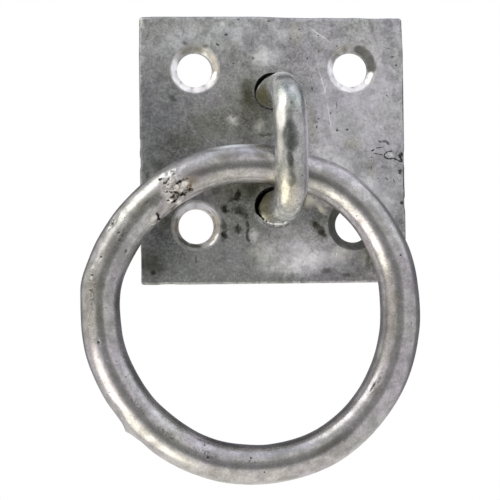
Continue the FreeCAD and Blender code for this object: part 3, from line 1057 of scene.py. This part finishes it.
stapleMarks = [
    markKind(  # painted cool light: lilac down the crown's right side
        [onStaple(4.9, -17.6, 0, 2.0, 12, 0, 2.6)],
        (0.74, 0.69, 0.76), 0.85, soft=0.9, ragged=1.0, dull=0.1, metal=-0.3),
    markKind(  # greenish grey on the upper bend
        stapleSpots((2.2, -19.6, 6.6, 1.7, 3.6, 0, 3.0), (3.6, -18.6, 8.0, 2.2, 4.4, 0, 3.6),
            (0.4, -18.6, 9.2, 2.4, 1.9, 0, 3.0)),
        (0.46, 0.51, 0.49), 0.85, soft=1.0, ragged=0.8, wash=True),
    markKind(  # pale green on the upper leg
        [onStaple(0.8, -12.0, 13.0, 3.4, 2.4, 0, 7.0)],
        (0.60, 0.645, 0.62), 0.7, soft=0.9, ragged=0.8, metal=-0.6),
    markKind(  # painted dark reflection down the middle of the crown
        stapleSpots((1.5, -19.9, 0.8, 1.9, 3.0, 4, 2.6), (1.7, -19.9, -1.2, 1.7, 1.8, 0, 2.6),
            (1.4, -19.8, -3.9, 0.8, 2.0, 8, 2.4)),
        (0.30, 0.33, 0.31), 0.85, soft=0.5, ragged=0.6, wash=True),
    markKind(  # yellow near the plate
        stapleSpots((-2.4, -8.0, 8.8, 2.4, 3.0, 0, 6.0), (-1.4, -7.0, -11.5, 4.6, 4.6, 0, 8.0)),
        (0.76, 0.69, 0.42), 0.95, soft=0.6, ragged=1.0, wash=True),
    markKind(  # warm grey on the lower bend
        [onStaple(1.2, -19.0, -9.5, 3.6, 6.5, 0, 6.0)],
        (0.86, 0.81, 0.64), 0.85, soft=0.9, ragged=1.0, wash=True),
    markKind(  # specks
        stapleSpots((1.8, -19.8, 6.2, 0.4, 0.35), (2.8, -19.6, 4.6, 0.45, 0.35),
            (3.6, -19.0, 7.6, 0.3, 0.4), (3.6, -19.2, -7.0, 0.3, 0.3)),
        (0.12, 0.12, 0.12), 0.7, ragged=0.6, rise=-0.03),
    markKind(  # painted highlight band down the crown, and a painted glint on the upper leg
        stapleSpots((-0.1, -19.4, 4.0, 1.1, 3.9, 0, 2.0), (-2.9, -4.4, 11.2, 0.5, 1.0, 0, 2.2)),
        (1.0, 0.985, 0.94), 0.8, soft=0.6, ragged=0.5, metal=-0.4),
    markKind(  # fainter painted highlight band below it
        stapleSpots((-0.3, -19.0, -1.6, 0.8, 4.4, 0, 1.8), (0.4, -19.4, -8.3, 1.3, 4.2, 0, 2.2)),
        (0.92, 0.90, 0.78), 0.42, soft=0.9, ragged=0.8, metal=-0.3),
    # painted shade inside the leg holes
    paintedHoleShade,
]
staple = makeStaple()
dressPiece(staple, makeZinc("stapleZinc", stapleLook, stapleMarks), stapleShape["smooth"])
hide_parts("staple")
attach(staple, "plate")
print("Staple ready,", len(staple.data.polygons), "faces")


# Ring

ringShape = {
    "wire": 7.4,  # mm
    "around": 256,
    "across": 96,
    "bends": [  # angle from the right, degrees, how far the wire has moved outwards, reach, mm
        (300, 0.24, 13.0), (218, -0.3, 9.0), (167, 0.42, 8.0), (135, -0.1, 6.0), (24, 0.32, 9.0),
        (54, 0.72, 11.0), (38, 0.36, 7.0), (4, -0.12, 6.0), (242, -0.15, 7.0), (104, 0.1, 8.0),
        (350, -0.14, 9.0), (204, -0.2, 6.5), (232, -0.16, 6.0)],
    "pushes": [  # angle, side of the wire from outwards to the front, degrees, rise, reach, mm
        (155, 0, 0.15, 4.0), (170, 0, 0.1, 4.0), (252, 0, -0.08, 4.0), (275, 180, -0.15, 5.0),
        (288, 180, -0.16, 5.0), (300, 180, -0.17, 5.0), (312, 180, -0.15, 5.0), (324, 180, -0.12, 5.0),
        (228, 180, 0.1, 4.0), (236, 180, 0.1, 4.0),
        (222.6, 8, 0.34, 1.6), (222.1, 10, 0.12, 0.9), (226.0, 5, 0.12, 3.0), (215.0, 25, -0.2, 3.0),
        (213.5, 36, -0.12, 2.0), (228.5, 6, -0.14, 2.6), (229.5, 0, -0.12, 3.0), (146.4, 38, 0.24, 0.9),
        (145.0, 35, -0.34, 0.5), (147.4, 42, -0.45, 0.5), (145.9, 47, -0.34, 0.5), (144.6, 41, -0.3, 0.5),
        (148.4, 78, -0.14, 0.5), (164.7, 46, 0.22, 0.7), (167.2, 50, 0.16, 0.5), (165.9, 52, -0.28, 0.5),
        (158.9, 62, -0.14, 0.5), (171.1, 56, -0.08, 0.5), (189.8, 79, -0.12, 0.5), (133.1, 87, -0.14, 0.5),
        (153.1, 123, -0.16, 0.5), (251.7, 96, -0.08, 0.6), (273.5, 74, -0.08, 0.5), (268.4, 115, -0.06, 0.5),
        (327.9, 123, -0.1, 0.7), (330.5, 118, -0.08, 0.6), (4.7, 115, -0.06, 0.8), (354.6, 125, -0.06, 0.8),
        (55.8, 40, -0.08, 0.6), (20.7, 68, -0.06, 0.5), (135.0, 140, 0.3, 1.4), (137.4, 139, 0.2, 1.0)],
    "swells": (4.5, 0.06),
    "slack": 0.03,
    "weldPatches": [(120.5, 118, 4.6), (134.5, 150, 2.2)],  # angle, side, reach of the finer mesh, mm
    "weldNear": 12,  # mm, beyond which nothing is pushed for the weld
    "weldPits": [  # width, depth in mm, then places by angle and side
        (0.42, 0.55, (117.1, 128), (118.6, 130), (120.5, 130), (121.4, 129.5)),
        (0.38, 0.5, (121.9, 129), (123, 131), (124, 134), (125.2, 141)),
        (0.26, 0.35, (125.7, 93), (124.3, 100.5)), (0.22, 0.3, (123.6, 104), (123.3, 111)),
        (0.26, 0.32, (120.2, 95), (118.9, 95), (117.4, 95)), (0.2, 0.2, (123.3, 74), (122.5, 73)),
        (0.2, 0.2, (121.9, 73), (120.9, 71)), (0.2, 0.2, (126.2, 121), (126.8, 120)),
        (0.2, 0.3, (121.4, 129.5), (121.6, 119)), (0.18, 0.25, (122.2, 120), (122.4, 111.5)),
        (0.22, 0.3, (116.9, 118), (116.6, 128)), (0.3, 0.45, (133, 131), (133.8, 146), (134.3, 163))],
    "weldStains": [
        (0.3, 0.15, (116.7, 95), (115, 94.5)), (0.32, 0.25, (124.5, 158), (126.3, 164), (127.9, 174)),
        (0.35, 0.1, (116.2, 121), (115, 115)), (0.3, 0.1, (115.2, 137), (115.4, 130))],
    "weldLumps": [  # angle, side, rise, reach
        (118.1, 112, 0.36, 0.9), (125.2, 131, 0.3, 0.8), (121.2, 153, 0.34, 1.0), (123.3, 155, 0.26, 0.8),
        (120.6, 86, 0.24, 0.9), (119.2, 60, 0.2, 0.8), (122.8, 88, 0.22, 0.7), (123.9, 61, 0.24, 0.6),
        (117.2, 51, 0.2, 0.6), (119.6, 138, 0.22, 0.7), (129.3, 146, 0.16, 1.0), (130.2, 120, 0.14, 1.2),
        (124.6, 113, 0.2, 0.5), (119.8, 120, 0.2, 0.5), (136.8, 152, 0.24, 0.8), (122.0, 45, 0.14, 1.0)],
    "pitSteps": 0.45,  # mm from push to push along a pit
    "pitPush": (1.3, 0.8),  # a push's reach and depth, as shares of the pit's width and depth
    "roughness": (130, 0.13, 0.45),  # small pushes round the weld, most rise, reach
    "roughPlace": (120.8, 2.6, 112, 24),  # their middle angle and its spread, and the same of the side
    "smooth": 60,
}
wireRadius = ringShape["wire"] / 2 * mm
ringRadius = ringOuter - wireRadius - ringShape["slack"] * mm


def onWire(angle, side):  # a point of the ring's surface, and its outward direction
    turn, lean = math.radians(angle), math.radians(side)
    across = Vector((math.cos(turn), 0, math.sin(turn)))
    outward = across * math.cos(lean) - Vector((0, math.sin(lean), 0))
    return ringMiddle + across * ringRadius + outward * wireRadius, outward


def wirePush(angle, side, rise, reach):
    place, outward = onWire(angle, side)
    return place, outward * rise * mm, reach * mm


def makeRing():
    shape = ringShape
    bpy.ops.object.select_all(action="DESELECT")
    bpy.ops.mesh.primitive_torus_add(major_segments=shape["around"], minor_segments=shape["across"],
                                     major_radius=ringRadius, minor_radius=wireRadius,
                                     rotation=(math.pi / 2, 0, 0), location=ringMiddle)
    ring = startPiece("zincRing")
    editPiece(ring)
    near = math.cos(math.pi / shape["around"])
    for angle, shift, reach in shape["bends"]:
        turn = math.radians(angle)
        across = Vector((math.cos(turn), 0, math.sin(turn)))

        def inSection(co):
            return Vector((co.x - ringMiddle.x, 0, co.z - ringMiddle.z)).normalized().dot(across) > near

        pickVerts(ring, inSection)
        moveSoftly(across * shift * mm, reach * mm)
    pushSpots(ring, [wirePush(*push) for push in shape["pushes"]])
    roughWeld(ring)
    leavePiece()
    swell(ring, *shape["swells"])
    keepWithin(ring, ringLow, ringHigh)
    return ring


def roughWeld(ring):
    shape = ringShape
    patches = [(onWire(angle, side)[0], reach * mm) for angle, side, reach in shape["weldPatches"]]

    def byWeld(co):
        return any((co - patch).length < reach for patch, reach in patches)

    pickVerts(ring, byWeld)
    bpy.ops.mesh.subdivide(number_cuts=2, smoothness=0)
    hideBeyond(ring, patches[0][0], shape["weldNear"] * mm)
    random.seed(11)
    count, most, reach = shape["roughness"]
    middle, spread, middleSide, sideSpread = shape["roughPlace"]
    spots = []
    for _ in range(count):
        angle, side = random.gauss(middle, spread), random.gauss(middleSide, sideSpread)
        spots.append(wirePush(angle, side, random.uniform(-most, most), reach * random.uniform(0.7, 1.4)))
    spots += [wirePush(*lump) for lump in shape["weldLumps"]]
    wider, shallower = shape["pitPush"]
    for width, depth, *places in shape["weldPits"] + shape["weldStains"]:
        for (angle, side), (nextAngle, nextSide) in zip(places, places[1:]):
            length = (onWire(angle, side)[0] - onWire(nextAngle, nextSide)[0]).length
            count = max(1, round(length / (shape["pitSteps"] * mm)))
            for step in range(count + 1):
                share = step / count
                spots.append(wirePush(angle + (nextAngle - angle) * share, side + (nextSide - side) * share,
                                      -depth * shallower, width * wider))
    pushSpots(ring, spots)
    bpy.ops.mesh.reveal(select=False)


ringLook = {
    "dark": (0.42, 0.415, 0.41),
    "light": (0.68, 0.67, 0.68),
    "greenish": (1.0, 1.0, 0.96),
    "lilac": (1.02, 0.98, 1.03),
    "broad": 9.0,
    "middling": 1.8,
    "fine": 0.45,
    "share": 0.6,
    "grain": 0.06,
    "rough": (0.2, 0.29),
    "metal": 0.9,
    "grainRise": 0.002,
    "cloudRise": 0.006,
    "fray": 0.9,
    "torn": 0.35,
    "scatter": [
        (0, (1, 1, 1), 1.6, 0.15, 0.3, 0.75, (0.10, 0.10, 0.09), -0.05),
        (0, (1, 1, 1), 0.9, 0.2, 0.2, 0.4, (0.2, 0.2, 0.2), -0.01),
        (0, (1, 1, 1), 1.1, 0.3, 0.25, 0.15, (0.95, 0.95, 0.95), 0.0),
    ],
}


def onRing(angle, side, along, around=None):
    around = along if around is None else around
    return onWire(angle, side)[0], (around * mm, around * mm, along * mm), angle


def ringSpots(*places):
    return [onRing(*place) for place in places]


def ringLine(width, *places):  # one long spot for each stretch
    spots = []
    for start, end in zip(places, places[1:]):
        first, last = onWire(*start)[0], onWire(*end)[0]
        way = last - first
        half = math.hypot(way.x, way.z) / 2 + width * mm
        size = (half, abs(way.y) / 2 + width * mm, width * mm)
        spots.append(((first + last) / 2, size, math.degrees(math.atan2(way.z, way.x))))
    return spots


def weldLines(name, wider):
    spots = []
    for width, depth, *places in ringShape[name]:
        spots += ringLine(width * wider, *places)
    return spots


ringMarks = [
    markKind(  # brown ground of the weld
        ringSpots((120.5, 112, 4.4, 3.6), (116.0, 118, 3.4, 2.0), (127.0, 146, 2.4, 2.6),
            (134.5, 146, 1.8)),
        (0.42, 0.385, 0.33), 0.7, soft=0.8, ragged=1.2, patchy=0.5, dull=0.2, metal=-0.25),
    markKind(  # rust in it
        ringSpots((114.2, 108, 1.8, 1.4), (126.4, 165, 0.9, 0.9), (117.0, 134, 1.4, 0.8),
            (121.5, 124, 2.6, 1.2)),
        (0.15, 0.11, 0.055), 0.8, soft=0.9, ragged=1.2, dull=0.25, metal=-0.3),
    markKind(  # bright metal between its pits
        # bright spots on the weld's lumps: bare metal, partly painted glints
        ringSpots((123.9, 66, 0.6), (117.4, 106, 0.9), (116.6, 123, 0.7), (119.8, 118, 0.6),
            (125.2, 131, 0.6), (122.3, 154, 1.2, 0.7), (135.4, 134, 1.1, 0.9)),
        (0.86, 0.82, 0.75), 0.45, soft=0.8, ragged=0.9, dull=0.1, metal=-0.4),
    markKind(  # its black holes
        ringSpots((123.7, 58, 0.45), (123.5, 72, 0.5, 0.4), (122.9, 84, 0.4), (120.2, 91, 0.6, 0.35),
            (118.3, 93, 0.7, 0.35), (116.2, 95, 0.7, 0.35), (122.3, 99, 0.55, 0.4), (120.3, 108, 0.5, 0.4),
            (121.6, 126, 0.9, 0.6), (119.3, 133, 1.1, 0.6), (116.6, 131, 1.0, 0.6), (123.9, 120, 0.6, 0.5),
            (125.2, 135, 0.7, 0.4), (133.6, 143, 0.8, 0.5), (134.5, 160, 0.7, 0.5)),
        (0.008, 0.007, 0.005), 1.0, soft=0.45, ragged=1.4, dull=0.3, rise=-0.08, metal=-0.8),
    markKind(  # its light specks
        ringSpots((121.0, 108, 3.6, 3.6), (124.5, 140, 2.0, 2.4)),
        (0.80, 0.77, 0.70), 0.35, soft=0.7, ragged=1.2, metal=-0.4, speckle=0.7),
    markKind(  # its dark specks
        ringSpots((120.6, 104, 3.4, 3.4), (116.4, 118, 2.2, 2.0), (134.6, 140, 1.6),
            (118.6, 132, 2.0, 1.0)),
        (0.05, 0.04, 0.028), 0.5, soft=0.8, ragged=1.2, dull=0.2, metal=-0.3, rise=-0.03, speckle=0.5),
    markKind(  # its rusty lines
        weldLines("weldStains", 1.3),
        (0.10, 0.06, 0.025), 0.9, soft=0.8, ragged=0.6, dull=0.3, metal=-0.4),
    markKind(  # its pits
        weldLines("weldPits", 1.35),
        (0.008, 0.007, 0.005), 1.0, soft=0.5, ragged=1.3, dull=0.3, rise=-0.08, metal=-0.8),
    markKind(  # pits elsewhere
        ringLine(0.16, (144.9, 33), (145.8, 44), (147.2, 42))
        + ringLine(0.3, (146.6, 45), (147.4, 41))
        + ringSpots((148.4, 78, 0.35), (165.9, 52, 0.4), (158.9, 62, 0.4, 0.3), (133.1, 87, 0.3),
            (153.1, 123, 0.55, 0.35), (171.1, 56, 0.3), (189.8, 79, 0.5, 0.35), (273.5, 74, 0.25),
            (251.7, 96, 0.5, 0.4), (268.4, 115, 0.4, 0.25), (327.9, 123, 1.4, 0.25), (55.8, 40, 0.3),
            (20.7, 68, 0.3)),
        (0.05, 0.045, 0.035), 0.9, soft=0.7, ragged=0.35, dull=0.1, rise=-0.05),
    markKind(  # olive wash along the front of the wire: painted dark reflection band
        ringSpots((4.7, 112, 4.2, 1.2), (354.6, 118, 4.0, 1.0), (343, 112, 3.0, 0.8), (168, 78, 5.0, 1.4),
            (180, 84, 4.0, 1.1), (14, 118, 3.0, 0.8), (328, 110, 3.4, 0.9), (155, 74, 5.0, 1.2),
            (108, 95, 4.0, 1.0)),
        (0.42, 0.40, 0.31), 0.75, soft=1.0, ragged=1.6, patchy=0.4, dull=0.05, wash=True),
    markKind(  # brownish wash down the middle of the front: painted dark reflection, and painted shade beside the staple
        ringSpots((134, 84, 6.0, 1.5), (98, 66, 5.5, 1.1), (86, 70, 3.0, 1.0), (300, 90, 7.0, 1.1)),
        (0.52, 0.49, 0.42), 0.8, soft=0.9, ragged=1.0, patchy=0.3, wash=True),
    markKind(  # painted bluish highlight on the top of the wire
        [onRing(95, 26, 6.0, 1.3)],
        (0.84, 0.90, 1.0), 0.85, soft=0.9, ragged=0.5, metal=-0.6),
    markKind(  # fine dark soiling
        ringSpots((217, 106, 4.5, 0.6), (234, 107, 4.5, 0.6), (251, 108, 4.5, 0.7), (232, 138, 4.5, 0.5),
            (250, 138, 4.5, 0.5), (172, 66, 5.0, 0.9), (268, 104, 4.0, 0.6), (330, 118, 4.0, 0.6),
            (150, 92, 4.0, 0.8)),
        (0.10, 0.10, 0.085), 0.65, soft=0.8, ragged=0.8, speckle=0.4),
    markKind(  # painted shade along the inner side of the ring
        [onRing(angle, 152, 6.5, 1.5) for angle in (208, 232, 256, 290, 312, 334, 356, 150, 172)],
        (0.58, 0.58, 0.57), 0.9, soft=0.8, ragged=0.4, wash=True),
]


ring = makeRing()
dressPiece(ring, makeZinc("ringZinc", ringLook, ringMarks), ringShape["smooth"])
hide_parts("ring")
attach(ring, "ring")
print("Ring ready,", len(ring.data.polygons), "faces")
